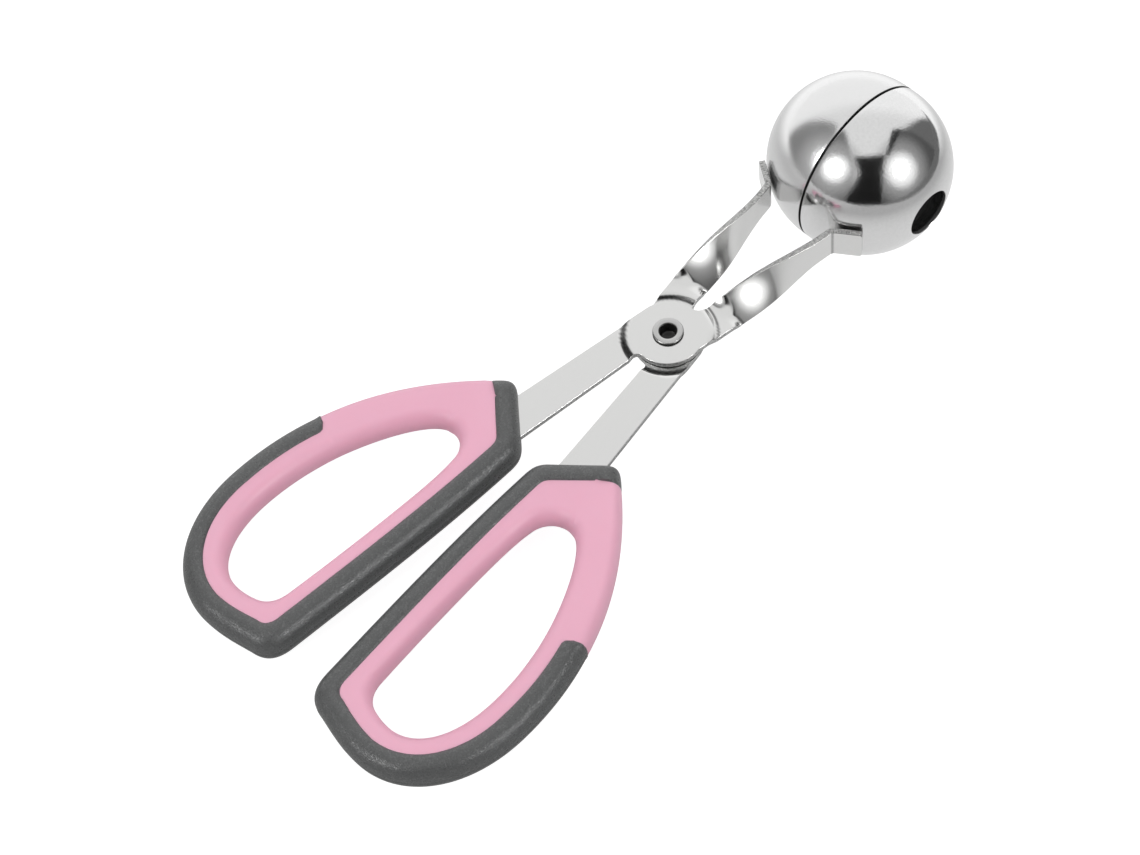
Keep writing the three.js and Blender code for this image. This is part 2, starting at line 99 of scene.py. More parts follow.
# Painted shade over the pressed steps, as bands: start and end from the pivot, and softness.
REAR_TOP_SHADE = (10.2, 12.3, 0.6)
REAR_UNDER_SHADE = (9.9, 11.6, 0.4)
ARM_TOP_SHADE = (12.0, 12.9, 0.3)
ARM_TOP_SHARE = 0.85
ARM_UNDER_SHADE = (10.6, 12.0, 0.4)
# A darker band painted along the middle of the bend: half its length, softness and share.
BEND_BAND_HALF = 0.8
BEND_BAND_SOFT = 0.6
BEND_BAND_SHARE = 0.5

# Rivet
SHANK_RADIUS = 2.95
HEAD_RADIUS = 4.6
HEAD_HEIGHT = 0.9
RING_RADIUS = 3.9
RING_HEIGHT = 0.65
RING_BORE = 2.15
RING_LIP = 0.3
BORE_DEPTH = 3.6
HEAD_ROUND = 0.45
SEAT_GAP = 0.2
RIVET_CORE = 0.2
RIVET_EDGE = 0.1
RING_FOOT_ROUND = 0.12
RING_WALL = (0.29, 0.31)
RING_POWER = 0.8
BORE_ROUND = 0.5
# Painted shade on the rivet: the darkening of the ring's side, and how far from the ring's foot the painted
# contact shadow reaches.
RING_SIDE_MARK = 0.6
FOOT_MARK_REACH = 0.3

# Finger loops
LOOP_FRONT = 36.2
LOOP_LENGTH = 94.75
LOOP_WIDTH = 48.15
LOOP_INSET = 2.4
REAR_BAR = 10.8
SIDE_BAR = 10.8
FINGER_LENGTH = 64.75
FINGER_WIDTH = 26.55
CORE_HALF = 4.25
CORE_OUTER_ROUND = 3.0
CORE_INNER_ROUND = 3.6
GRIP_WIDTH = 5.5
GRIP_CROWN = 5.0
GRIP_CROWN_INSET = 4.1
GRIP_SEAM_STEP = 0.2
GRIP_SLOPE_POWER = 1.7
GRIP_END_ROUND = 2.3
GRIP_END_EASE = 0.6
TONGUE_HALF = 2.3
TONGUE_INSET = 2.6
TONGUE_WALL = 1.6
SEAM_GAP = 0.03
SEAM_SINK = 0.2
SEAM_SHOULDER = 0.1
SEAM_EDGE = (0.02, 0.06)
FLAT_OVERRUN = 0.3
PARTING_GROOVE = 0.16
ROUND_POWER = 2.3

# Loop outline as a chain of cubic curves, three points a curve, in shares of the loop's length behind
# its tip and of its width out from its straight side, and the finger opening as a matching chain.
OUTLINE_SHARES = np.array([
    (0.034, 0.415), (-0.007, 0.334), (-0.011, 0.324),
    (0.021, 0.251), (0.051, 0.184), (0.082, 0.113),
    (0.11, 0.05), (0.129, 0.008), (0.146, 0),
    (0.173, 0), (0.409, 0), (0.652, 0.039),
    (0.895, 0.077), (0.948, 0.085), (0.972, 0.127),
    (0.978, 0.21), (0.988, 0.303), (1.001, 0.386),
    (1, 0.511), (0.998, 0.791), (0.863, 1),
    (0.673, 1), (0.584, 1), (0.494, 0.972),
    (0.412, 0.916), (0.274, 0.829), (0.146, 0.661),
])
OPENING_SHARES = np.array([
    (0.003, 0.324), (0, 0.29), (-0.002, 0.26),
    (0, 0.226), (0.002, 0.185), (0.012, 0.124),
    (0.029, 0.087), (0.043, 0.053), (0.062, 0.023),
    (0.09, 0.009), (0.21, -0.019), (0.565, 0.023),
    (0.874, 0.096), (0.928, 0.109), (0.973, 0.169),
    (0.988, 0.294), (0.996, 0.362), (1.001, 0.437),
    (1, 0.512), (0.998, 0.795), (0.882, 1),
    (0.681, 1), (0.581, 1), (0.473, 0.96),
    (0.368, 0.881), (0.225, 0.772), (0.019, 0.52),
])
# Where the colour seam lies from the outline at the start of each curve, in grip widths.
SEAM_SHARES = np.array([
    (0.53, -0.83), (0.87, 0.51), (0.62, 0.84), (0.15, 1.02), (-0.25, 1.03),
    (-1, 0.45), (-1, 0), (0, -1), (0.37, -0.93),
])
GRIP_CURVES = len(SEAM_SHARES) - 1

# Mesh fineness
CURVE_STEPS = np.array([24, 16, 24, 60, 28, 16, 64, 28, 48])
TOP_POINTS = 22
SIDE_POINTS = 9
REAR_RINGS = 40
ROOT_RINGS = 28
FINE_RINGS_FROM = 16.0
FINE_PITCH = 0.2
FILLET_STEPS = 14
DISC_STEPS = 60
ARM_RINGS = 180
BEND_RINGS = 17
TAB_RINGS = 24
CORNER_RINGS = 10
HOLE_ROWS = 10
HOLE_COLUMNS = 4
CUP_SIDES = 192
CUP_OUTER_STEPS = 64
CUP_INNER_STEPS = 40
LIP_STEPS = 5
RIVET_SIDES = 96
WALL_STEPS = 5
TINY = 0.001
SHARP_ANGLE = math.radians(38)


def smooth(t):
    """The cubic from 0 to 1 that starts and ends level."""
    t = np.clip(t, 0, 1)
    return t * t * (3 - 2 * t)


# Mesh making

hinge = frame["joints"][0]
PIVOT = np.array(hinge["pos_m"])
UP = np.array(hinge["axis"]) / np.linalg.norm(hinge["axis"])
LEFT = np.array([0.0, 1.0, 0.0])
AHEAD = np.cross(LEFT, UP)


def settle(points):
    """Plan millimetres to the row frame: the hinge's place plus each plan axis times its own share."""
    return PIVOT + MM * (points @ np.stack([AHEAD, LEFT, UP]))


def turned_over(points):
    """The other arm: a half turn about X."""
    return points * np.array([1.0, -1.0, -1.0])


def grid_quads(rows, columns, close_rows, close_columns):
    """Corner numbers of the quads of a grid, and where each corner stands in rows and columns."""
    i = np.arange(rows if close_rows else rows - 1)
    j = np.arange(columns if close_columns else columns - 1)
    i, j = (a.ravel() for a in np.meshgrid(i, j, indexing="ij"))
    row = np.stack([i, i, i + 1, i + 1], axis=1)
    column = np.stack([j, j + 1, j + 1, j], axis=1)
    return (row % rows) * columns + column % columns, row, column


def signed_volume(points, quads):
    """Sum over the quads' two triangles of a sixth of the corners' triple product."""
    a, b, c, d = (points[quads[:, k]] for k in range(4))
    return (np.cross(a, b) * c).sum() + (np.cross(a, c) * d).sum()


def piece(name, grid, body, node, material, close_rows=False, ends=None, lengths=None, marks=None,
          hole=None):
    """A closed skin through a grid of points, rows along the piece and columns round its section.

    ends is a list of extra faces, given as corner numbers of the first and of the last row.
    lengths gives the UV map: millimetres along the rows and round the columns. marks is a number
    for each column or for each point, kept as the attribute "mark". hole tells which quads to leave
    out and the faces that line the gap.
    """
    rows, columns = grid.shape[:2]
    points = grid.reshape(-1, 3)
    quads, row, column = grid_quads(rows, columns, close_rows, True)
    inside_out = signed_volume(points, quads) < 0
    lining = []
    if hole is not None:
        kept, lining = hole
        quads, row, column = quads[kept], row[kept], column[kept]
    faces = quads.tolist() + lining
    if ends is not None:
        last = (rows - 1) * columns
        faces += [list(face)[::-1] for face in ends]
        faces += [[last + corner for corner in face] for face in ends]
    if inside_out:
        faces = [face[::-1] for face in faces]
        row, column = row[:, ::-1], column[:, ::-1]
    mesh = bpy.data.meshes.new(name)
    mesh.from_pydata(settle(points).tolist(), [], faces)
    if lengths is not None:
        along, around = lengths
        uv = np.zeros((len(mesh.loops), 2), np.float32)
        uv[: row.size, 0] = along[row.ravel()]
        uv[: row.size, 1] = around[column.ravel()]
        mesh.uv_layers.new(name="lengths").data.foreach_set("uv", uv.ravel())
    if marks is not None:
        values = np.broadcast_to(marks, (rows, columns)).astype(np.float32)
        mesh.attributes.new("mark", "FLOAT", "POINT").data.foreach_set("value", values.ravel())
    mesh.shade_smooth()
    mesh.set_sharp_from_angle(angle=SHARP_ANGLE)
    mesh.materials.append(material)
    obj = bpy.data.objects.new(name, mesh)
    bpy.context.scene.collection.objects.link(obj)
    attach(obj, body)
    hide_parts(node)
    return obj


# Steel strip


class Stretch:
    """A straight tapering strip that leaves the pivot disc by its outer edge, in plan.

    It is measured along its centre line from the foot of the pivot, and across it outwards.
    """

    def __init__(self, angle, forward, root_width, end_width, run, shoulder):
        self.along = np.array([forward * math.cos(angle), -forward * math.sin(angle), 0.0])
        self.out = np.array([-forward * math.sin(angle), -forward * math.cos(angle), 0.0])
        self.root_width, self.end_width, self.run = root_width, end_width, run
        self.offset = DISC_RADIUS - shoulder - root_width / 2
        self.foot = math.sqrt(DISC_RADIUS**2 - (DISC_RADIUS - shoulder) ** 2)

    def half(self, s):
        """Half the width at s, which tapers evenly over the run."""
        share = np.minimum(s / self.run, 1)
        return (self.root_width + (self.end_width - self.root_width) * share) / 2

    def place(self, s, across):
        """Plan point at s along the centre line and so far across it."""
        s, across = np.broadcast_arrays(np.asarray(s, float), np.asarray(across, float))
        return s[..., None] * self.along + (self.offset + across)[..., None] * self.out


def root_arc(part):
    """Fillet circle that touches the disc's edge and the stretch's inner edge, found by repetition."""
    reach = DISC_RADIUS + ROOT_FILLET
    s, across = reach, 0.0
    for _ in range(40):
        across = part.offset - part.half(s) - ROOT_FILLET
        s = math.sqrt(reach * reach - across * across)
    centre = part.place(s, across - part.offset)
    on_edge = part.place(s, -part.half(s))
    on_disc = centre * DISC_RADIUS / np.linalg.norm(centre)
    return s, centre, on_edge, on_disc


def arc(centre, start, end, steps, clockwise):
    """Points after start on the circle round centre, by equal angles up to end's direction."""
    a = math.atan2(start[1] - centre[1], start[0] - centre[0])
    sweep = math.atan2(end[1] - centre[1], end[0] - centre[0]) - a
    if clockwise and sweep > 0:
        sweep -= 2 * math.pi
    if not clockwise and sweep < 0:
        sweep += 2 * math.pi
    angle = a + sweep * np.arange(1, steps + 1) / steps
    radius = np.linalg.norm(start - centre)
    flat = np.zeros(steps)
    return centre + radius * np.stack([np.cos(angle), np.sin(angle), flat], axis=1)


rear = Stretch(REAR_ANGLE, -1, REAR_ROOT_WIDTH, REAR_END_WIDTH, TANG_END, 0)
front = Stretch(ARM_ANGLE, 1, ARM_ROOT_WIDTH, ARM_TIP_WIDTH, ARM_TAPER, ARM_SHOULDER)
DISC_LIFT = (STRIP_THICKNESS + DISC_GAP) / 2
STEP_START = DISC_RADIUS + STEP_INSET
STACK_HALF = DISC_GAP / 2 + STRIP_THICKNESS


def arm_frames(s, bend_at):
    """Centre, across and face directions of the arm at s.

    The centre line is straight up to the bend, goes round it on a circle and then straight on. The
    strip turns a quarter about it by two smooth ramps, and is lifted by the sine of its twist until
    the tab begins.
    """
    bend = TAB_ANGLE - ARM_ANGLE
    turned = np.clip((s - bend_at) / BEND_RADIUS, 0, bend)
    heading = ARM_ANGLE + turned
    flat = np.zeros_like(s)
    ahead = np.stack([np.cos(heading), -np.sin(heading), flat], axis=1)
    side = np.stack([np.sin(heading), np.cos(heading), flat], axis=1)
    hub = front.place(np.minimum(s, bend_at), 0) + BEND_RADIUS * front.out
    past = np.maximum(s - bend_at - BEND_RADIUS * bend, 0)
    start = hub + BEND_RADIUS * side + past[:, None] * ahead
    twist = math.pi / 2 * sum(share * smooth((s - first) / run) for first, run, share in TWISTS)
    tab = smooth((s - bend_at + TAB_RUN) / TAB_RUN)
    start[:, 2] = ARM_LIFT * np.sin(twist) * (1 - tab)
    across = side * np.cos(twist)[:, None]
    across[:, 2] = np.sin(twist)
    normal = -side * np.sin(twist)[:, None]
    normal[:, 2] = np.cos(twist)
    half = front.half(s) * (1 - tab) + TAB_WIDTH / 2 * tab
    return start, across, normal, half


def find_bend():
    """The bend comes where the tab's inner face lies on the cup: linear, so two tries give it."""
    tab_out = np.array([-math.sin(TAB_ANGLE), -math.cos(TAB_ANGLE)])
    cup_centre = np.array([PIVOT_TO_BALL, -(PARTING_GAP / 2 + RIM_BAND)])
    wanted = BALL_RADIUS + WELD_GAP + STRIP_THICKNESS / 2
    run = BEND_RADIUS * (TAB_ANGLE - ARM_ANGLE)
    near, far = (
        (arm_frames(np.array([s + run]), s)[0][0, :2] - cup_centre) @ tab_out
        for s in (0.0, PIVOT_TO_BALL)
    )
    return PIVOT_TO_BALL * (wanted - near) / (far - near)


BEND_AT = find_bend()
BEND_END = BEND_AT + BEND_RADIUS * (TAB_ANGLE - ARM_ANGLE)
ARM_END = BEND_END + TAB_LENGTH


def strip_section():
    """Section as share across, inset in millimetres, height and an edge mark: the top from left to
    right, round the sheared edge, and the underside back."""
    r, half = SHEARED_ROUND, STRIP_THICKNESS / 2
    share = np.concatenate([[0], np.linspace(0, 1, TOP_POINTS), [1]])
    inset = (r + HOLDING_STRIP) * (1 - 2 * share)
    inset[0], inset[-1] = r, -r
    angle = np.radians([30, 60, 90])
    corner = np.stack([np.full(3, 1.0), -r + r * np.sin(angle), half - r + r * np.cos(angle)], axis=1)
    wall = np.array([[1.0, 0.0, height] for height in (WALL_STEP, 0.0, -WALL_STEP)])
    top = np.stack([share, inset, np.full_like(share, half)], axis=1)
    right = np.concatenate([corner, wall, (corner * [1, 1, -1])[::-1]])
    assert len(right) == SIDE_POINTS
    over = np.concatenate([top, right])
    under = np.stack([1 - over[:, 0], -over[:, 1], -over[:, 2]], axis=1)
    section = np.concatenate([over, under])
    rough = np.ones(len(right))
    rough[:2] = rough[-2:] = 0
    mark = np.concatenate([np.zeros(len(top)), rough] * 2)
    return section, mark


def strip_rings():
    """Left edge, right edge and face direction of each ring, and its place along the strip."""
    rear_s, rear_centre, rear_edge, rear_disc = root_arc(rear)
    front_s, front_centre, front_edge, front_disc = root_arc(front)
    back = np.concatenate([
        np.linspace(TANG_END, FINE_RINGS_FROM, REAR_RINGS),
        np.linspace(FINE_RINGS_FROM - FINE_PITCH, rear_s, ROOT_RINGS),
    ])
    fillet = np.arange(1, FILLET_STEPS + 1) / FILLET_STEPS
    rear_foot = rear.place(rear.foot, rear.half(rear.foot))
    front_foot = front.place(front.foot, front.half(front.foot))
    rear_run = rear_s + (rear.foot - rear_s) * fillet
    front_run = front.foot + (front_s - front.foot) * fillet
    centre = np.zeros(3)
    left = np.concatenate([
        rear.place(back, rear.half(back)),
        rear.place(rear_run, rear.half(rear_run)),
        arc(centre, rear_foot, front_disc, DISC_STEPS, True),
        arc(front_centre, front_disc, front_edge, FILLET_STEPS, False),
    ])
    right = np.concatenate([
        rear.place(back, -rear.half(back)),
        arc(rear_centre, rear_edge, rear_disc, FILLET_STEPS, True),
        arc(centre, rear_disc, front_foot, DISC_STEPS, False),
        front.place(front_run, front.half(front_run)),
    ])
    face = np.zeros_like(left)
    face[:, 2] = 1
    corner = TAB_CORNER * np.sin(np.radians(np.linspace(0, 90, CORNER_RINGS)))
    s = np.concatenate([
        np.linspace(front_s, BEND_AT, ARM_RINGS)[1:],
        np.linspace(BEND_AT, BEND_END, BEND_RINGS)[1:],
        np.linspace(BEND_END, ARM_END - TAB_CORNER, TAB_RINGS)[1:-1],
        ARM_END - TAB_CORNER + corner,
    ])
    start, across, normal, half = arm_frames(s, BEND_AT)
    past = np.maximum(s - ARM_END + TAB_CORNER, 0) / TAB_CORNER
    half = half - TAB_CORNER * (1 - np.sqrt(1 - past**2))
    left = np.concatenate([left, start + across * half[:, None]])
    right = np.concatenate([right, start - across * half[:, None]])
    face = np.concatenate([face, normal])
    middle = (left + right) / 2
    along = np.concatenate([[0], np.cumsum(np.linalg.norm(np.diff(middle, axis=0), axis=1))])
    return left, right, face, along


def hole_block(left, right, columns):
    """First and last row and column, on the strip's top, of the block of quads round the pivot."""
    reach = np.linalg.norm((left + right) / 2, axis=1)
    row = int(np.argmin(reach))
    top = (columns // 2 - SIDE_POINTS) // 2
    return row - HOLE_ROWS, row + HOLE_ROWS, top - HOLE_COLUMNS - 1, top + HOLE_COLUMNS


def drawn_to_hole(plan, block):
    """Moves the block's rim onto the rivet hole's circle and its surroundings by a fading share."""
    first_row, last_row, first, last = block
    rows, columns = plan.shape[:2]
    under = columns // 2 + first + last
    column = np.arange(columns)
    column = np.where(column < columns // 2, column, under - column)
    row = np.arange(rows)[:, None]
    beside = np.abs(column - (first + last) / 2) / ((last - first) / 2)
    beyond = np.abs(row - (first_row + last_row) / 2) / ((last_row - first_row) / 2)
    pull = 1 - smooth(np.maximum(beside, beyond) - 1)
    reach = np.linalg.norm(plan, axis=2)
    ratio = (SHANK_RADIUS + HOLE_PLAY) / np.maximum(reach, TINY)
    return plan * (1 + pull * (ratio - 1))[..., None]


def hole_faces(block, rows, columns):
    """Which quads stay when the block is left out above and below, and the hole's wall."""
    first_row, last_row, first, last = block
    under = columns // 2 + first + last
    kept = np.ones((rows - 1, columns), bool)
    kept[first_row:last_row, first:last] = False
    kept[first_row:last_row, under - last:under - first] = False
    down = np.arange(first_row, last_row)
    over = np.arange(first, last)
    row = np.concatenate([
        np.full(len(over), first_row), down, np.full(len(over), last_row), down[::-1] + 1])
    column = np.concatenate([
        over, np.full(len(down), last), over[::-1] + 1, np.full(len(down), first)])
    above = row * columns + column
    below = row * columns + under - column
    wall = np.stack([above, np.roll(above, -1), np.roll(below, -1), below], axis=1)
    return kept.ravel(), wall.tolist()


def strip_grid():
    """The section carried through the rings, raised by half a stack on the disc and eased down over
    the pressed step by its distance from the pivot."""
    section, mark = strip_section()
    left, right, face, along = strip_rings()
    width = np.linalg.norm(right - left, axis=1)
    share = section[None, :, 0] + section[None, :, 1] / width[:, None]
    plan = left[:, None] + (right - left)[:, None] * share[..., None]
    block = hole_block(left, right, len(section))
    plan[..., :2] = drawn_to_hole(plan[..., :2], block)
    height = np.broadcast_to(section[:, 2], share.shape).copy()
    on_top = section[:, 2] == STRIP_THICKNESS / 2
    height -= weld_dents(along, (share - 0.5) * width[:, None]) * on_top
    grid = plan + face[:, None] * height[..., None]
    reach = np.hypot(plan[..., 0], plan[..., 1])
    down = np.clip((reach - STEP_START) / STEP_RUN, 0, 1)
    grid[..., 2] += DISC_LIFT * (1 - smooth(down ** STEP_SKEW))
    flat = np.stack([section[:, 0] * ARM_ROOT_WIDTH + section[:, 1], section[:, 2]], axis=1)
    closed = np.concatenate([flat, flat[:1]])
    around = np.concatenate([[0], np.cumsum(np.linalg.norm(np.diff(closed, axis=0), axis=1))])
    # The painted dark bands are kept as negative marks, below the cut edges' positive ones.
    mark = mark - painted_band_marks(plan, reach, along, section)
    return grid, (along, around), mark, hole_faces(block, *grid.shape[:2])


def band(distance, start, end, soft):
    """1 between start and end, with smooth flanks inside them."""
    return smooth((distance - start) / soft) * smooth((end - distance) / soft)


def painted_band_marks(plan, reach, along, section):
    """How strongly painted shade darkens the strip: a soft band above and below each pressed step, by
    the distance from the pivot, and a darker band painted on top of the bend."""
    top = (section[:, 2] == STRIP_THICKNESS / 2)[None, :]
    under = (section[:, 2] == -STRIP_THICKNESS / 2)[None, :]
    behind = plan[..., 0] < 0
    marks = band(reach, *REAR_TOP_SHADE) * (top & behind)
    marks = marks + ARM_TOP_SHARE * band(reach, *ARM_TOP_SHADE) * (top & ~behind)
    marks = marks + band(reach, *REAR_UNDER_SHADE) * (under & behind)
    marks = marks + band(reach, *ARM_UNDER_SHADE) * (under & ~behind)
    middle = along[-1] - TAB_LENGTH - BEND_RADIUS * (TAB_ANGLE - ARM_ANGLE) / 2
    dark_bend_band = band(along, middle - BEND_BAND_HALF, middle + BEND_BAND_HALF, BEND_BAND_SOFT)
    return marks + BEND_BAND_SHARE * dark_bend_band[:, None] * top


def weld_dents(along, across):
    """Depth of the two bell-shaped electrode marks on the tab's outer face."""
    from_middle = (along - along[-1] + TAB_LENGTH / 2)[:, None]
    to_dent = np.abs(across) - WELD_PITCH / 2
    square = (from_middle**2 + to_dent**2) / WELD_DENT_RADIUS**2
    return WELD_DENT * np.exp(-square)


def strip_end_faces(columns):
    """Quads across a ring, from its top to the matching place on its underside."""
    j = np.arange(columns // 2 - 1)
    last = columns - 1
    return np.stack([j, j + 1, last - j - 1, last - j], axis=1).tolist()


# Cups and rivet


def revolved(profile, sides):
    """A profile of radius and height carried round the Z axis: rows go round, columns follow it."""
    angle = 2 * np.pi * np.arange(sides) / sides
    radius, height = profile[:, 0], profile[:, 1]
    x = np.cos(angle)[:, None] * radius
    y = np.sin(angle)[:, None] * radius
    return np.stack([x, y, np.broadcast_to(height, x.shape)], axis=2)


def corner_arc(centre, radius, first, last, steps):
    """Points on a circle between two angles in degrees."""
    angle = np.radians(np.linspace(first, last, steps))
    return np.stack([centre[0] + radius * np.cos(angle), centre[1] + radius * np.sin(angle)], axis=1)


def cup_grid():
    """Hemisphere wall on a short straight rim, open at the pole, with rounded lips. Axis on -Y.

    Its marks are 1 on the cut rim, less on the inside and 0 on the polished outside. The finish makes
    the marked places duller and darker, the darkening being painted shade of the parting gap and the hollow.
    """
    inner = BALL_RADIUS - CUP_WALL
    out = np.linspace(0, math.acos((DRAIN_RADIUS + DRAIN_EASE) / BALL_RADIUS), CUP_OUTER_STEPS)
    back = np.linspace(math.acos((DRAIN_RADIUS + DRAIN_EASE) / inner), 0, CUP_INNER_STEPS)
    outer = np.stack([BALL_RADIUS * np.cos(out), RIM_BAND + BALL_RADIUS * np.sin(out)], axis=1)
    within = np.stack([inner * np.cos(back), RIM_BAND + inner * np.sin(back)], axis=1)
    lip = RIM_ROUND
    middle = BALL_RADIUS - CUP_WALL / 2
    drain_lip = np.array([
        [DRAIN_RADIUS, outer[-1, 1] - DRAIN_LIP],
        [DRAIN_RADIUS, within[0, 1] + DRAIN_LIP],
    ])
    profile = np.concatenate([
        [[middle, 0]],
        corner_arc((BALL_RADIUS - lip, lip), lip, -90, 0, LIP_STEPS),
        outer,
        drain_lip,
        within,
        corner_arc((inner + lip, lip), lip, -180, -90, LIP_STEPS),
    ])
    x, z, height = np.moveaxis(revolved(profile, CUP_SIDES), 2, 0)
    grid = np.stack([x + PIVOT_TO_BALL, -PARTING_GAP / 2 - height, z], axis=2)
    mark = np.concatenate([
        np.ones(LIP_STEPS - 1),
        np.zeros(len(outer) + 2),
        np.full(len(drain_lip) + len(within), INSIDE_MARK),
        np.ones(LIP_STEPS),
    ])
    return grid, mark


def rivet_grid():
    """Flat head, shank, rolled ring and blind bore, from the head's middle to the bore's floor.

    Its marks are 1 in the bore and at the ring's foot, less on the ring's side and 0 elsewhere. The
    finish darkens them as painted shade: the hollow bore, a contact shadow at the foot and the ring's side.
    """
    head_top = -STACK_HALF - SEAT_GAP
    head_base = head_top - HEAD_HEIGHT
    foot = STACK_HALF + SEAT_GAP
    top = foot + RING_HEIGHT
    roll = (RING_RADIUS - RING_BORE) / 2
    crown = np.radians(np.linspace(0, 180, 25))
    rise = RING_LIP + RING_FOOT_ROUND
    ring = np.stack([
        RING_BORE + roll + roll * np.sign(np.cos(crown)) * np.abs(np.cos(crown)) ** RING_POWER,
        top - rise + rise * np.sin(crown) ** RING_POWER,
    ], axis=1)
    bore_floor = top - BORE_DEPTH
    bore_wall = bore_floor + BORE_ROUND
    profile = np.concatenate([
        [[RIVET_CORE, head_base], [HEAD_RADIUS - HEAD_ROUND - RIVET_EDGE, head_base]],
        corner_arc((HEAD_RADIUS - HEAD_ROUND, head_base + HEAD_ROUND), HEAD_ROUND, -90, 0, 8),
        corner_arc((HEAD_RADIUS - RIVET_EDGE, head_top - RIVET_EDGE), RIVET_EDGE, 0, 90, 4),
        [[SHANK_RADIUS, head_top], [SHANK_RADIUS, foot]],
        corner_arc((RING_RADIUS - RING_FOOT_ROUND, foot + RING_FOOT_ROUND), RING_FOOT_ROUND, -90, 0, 6),
        [[RING_RADIUS, foot + height] for height in RING_WALL],
        ring,
        [[RING_BORE, bore_wall]],
        corner_arc((RING_BORE - BORE_ROUND, bore_wall), BORE_ROUND, 0, -90, 6),
        [[RIVET_CORE, bore_floor]],
    ])
    radius, height = profile.T
    over_floor = (height > bore_floor - BORE_ROUND) & (height < top - RIVET_EDGE)
    in_bore = (radius < RING_BORE + roll / 2) & over_floor
    at_foot = (radius > RING_BORE + roll) & (np.abs(height - foot) < FOOT_MARK_REACH)
    mark = np.where(radius > RING_RADIUS - RIVET_EDGE, RING_SIDE_MARK, 0.0)
    mark = np.where(in_bore | at_foot, 1.0, mark)
    return np.swapaxes(revolved(profile, RIVET_SIDES), 0, 1), mark[:, None]


# Finger loops


def chain(shares, origin, size):
    """Points of a chain of cubic curves by Bernstein's sum, with each point's curve and that
    curve's first and last points.
    """
    points = origin + np.stack([-shares[:, 0] * size[0], shares[:, 1] * size[1]], axis=1)
    curve = np.repeat(np.arange(len(CURVE_STEPS)), CURVE_STEPS)
    first = np.concatenate([[0], np.cumsum(CURVE_STEPS)[:-1]])
    t = (np.arange(len(curve)) - first[curve]) / CURVE_STEPS[curve]
    corner = [points[(3 * curve + k) % len(points)] for k in range(4)]
    weight = [(1 - t) ** 3, 3 * (1 - t) ** 2 * t, 3 * (1 - t) * t**2, t**3]
    return sum(w[:, None] * p for w, p in zip(weight, corner)), curve, corner[0], corner[3]


def as_complex(points):
    """Plan points as complex numbers, whose product turns and scales."""
    return points[:, 0] + 1j * points[:, 1]


def unit(vectors):
    """Each row at length 1."""
    return vectors / np.linalg.norm(vectors, axis=1)[:, None]


def loop_stations():
    """Plan points on the outline, the colour seam and the finger opening, round the loop.

    Along the grip the seam follows the outline's curves, each turned and shrunk to its own ends, and
    beyond it keeps the grip's width. At the grip's end the seam rounds a corner.
    """
    origin = np.array([-LOOP_FRONT, LOOP_INSET])
    rim, curve, start, end = chain(OUTLINE_SHARES, origin, (LOOP_LENGTH, LOOP_WIDTH))
    finger_front = LOOP_FRONT + LOOP_LENGTH - REAR_BAR - FINGER_LENGTH
    origin = np.array([-finger_front, LOOP_INSET + SIDE_BAR])
    hole = chain(OPENING_SHARES, origin, (FINGER_LENGTH, FINGER_WIDTH))[0]
    reach = GRIP_WIDTH * SEAM_SHARES * np.array([-1, 1])
    corners = start[np.concatenate([[0], np.cumsum(CURVE_STEPS)[:-1]])]
    seam_ends = corners + reach
    seam = rim + GRIP_WIDTH * unit(hole - rim)
    covered = curve < GRIP_CURVES
    number = curve[covered]
    chord = as_complex(end[covered] - start[covered])
    wanted = as_complex(seam_ends[number + 1] - seam_ends[number])
    part = as_complex(rim[covered] - start[covered])
    moved = part * wanted / chord + as_complex(seam_ends[number])
    seam[covered] = np.stack([moved.real, moved.imag], axis=1)
    stop = int(covered.sum())
    lengths = np.linalg.norm(np.diff(rim, axis=0), axis=1)
    along = np.concatenate([[0], np.cumsum(lengths)])
    left_over = np.clip(along[stop] - along, 0, GRIP_END_ROUND) / GRIP_END_ROUND
    drawn_in = GRIP_END_ROUND * (1 - np.sqrt(1 - (1 - left_over) ** 2))
    inside = np.arange(len(rim)) <= stop
    seam[inside] -= unit((seam - rim)[inside]) * drawn_in[inside, None]
    return rim, seam, hole, along, stop


def quarter_round(inset, height, steps):
    """A rounded edge by a power a little over the circle's: distance in and height, from the flat
    down to the mid-plane."""
    angle = math.pi / 2 * (1 - np.arange(steps + 1) / steps)
    bulge = 2 / ROUND_POWER
    across = inset * (1 - np.maximum(np.cos(angle), 0) ** bulge)
    return np.stack([across, height * np.sin(angle) ** bulge], axis=1)


RIM, SEAM, HOLE = 0, 1, 2


def rows_from(kind, pairs):
    """Section points, each the line that its distance is measured from, the distance and the height."""
    return np.column_stack([np.full(len(pairs), kind), pairs])


def both_halves(half):
    """A half section from mid-plane to mid-plane, closed by its mirror image below."""
    below = half[::-1][1:-1] * np.array([1, 1, -1])
    return np.concatenate([half, below])


def section_grid(section, rim, seam, hole):
    """The section at every station: a share of the way from rim to seam, on from the seam, or back
    from the opening."""
    kind, distance, height = section[:, 0], section[:, 1], section[:, 2]
    to_seam = (seam - rim)[:, None] * (distance / GRIP_WIDTH)[None, :, None]
    from_rim = rim[:, None] + to_seam
    onward = unit(hole - seam)[:, None] * distance[None, :, None]
    plan = np.where((kind == RIM)[None, :, None], from_rim, seam[:, None] + onward)
    plan = np.where((kind == HOLE)[None, :, None], hole[:, None] - onward, plan)
    tall = np.broadcast_to(height, plan.shape[:2])
    return np.concatenate([plan, tall[..., None]], axis=2)


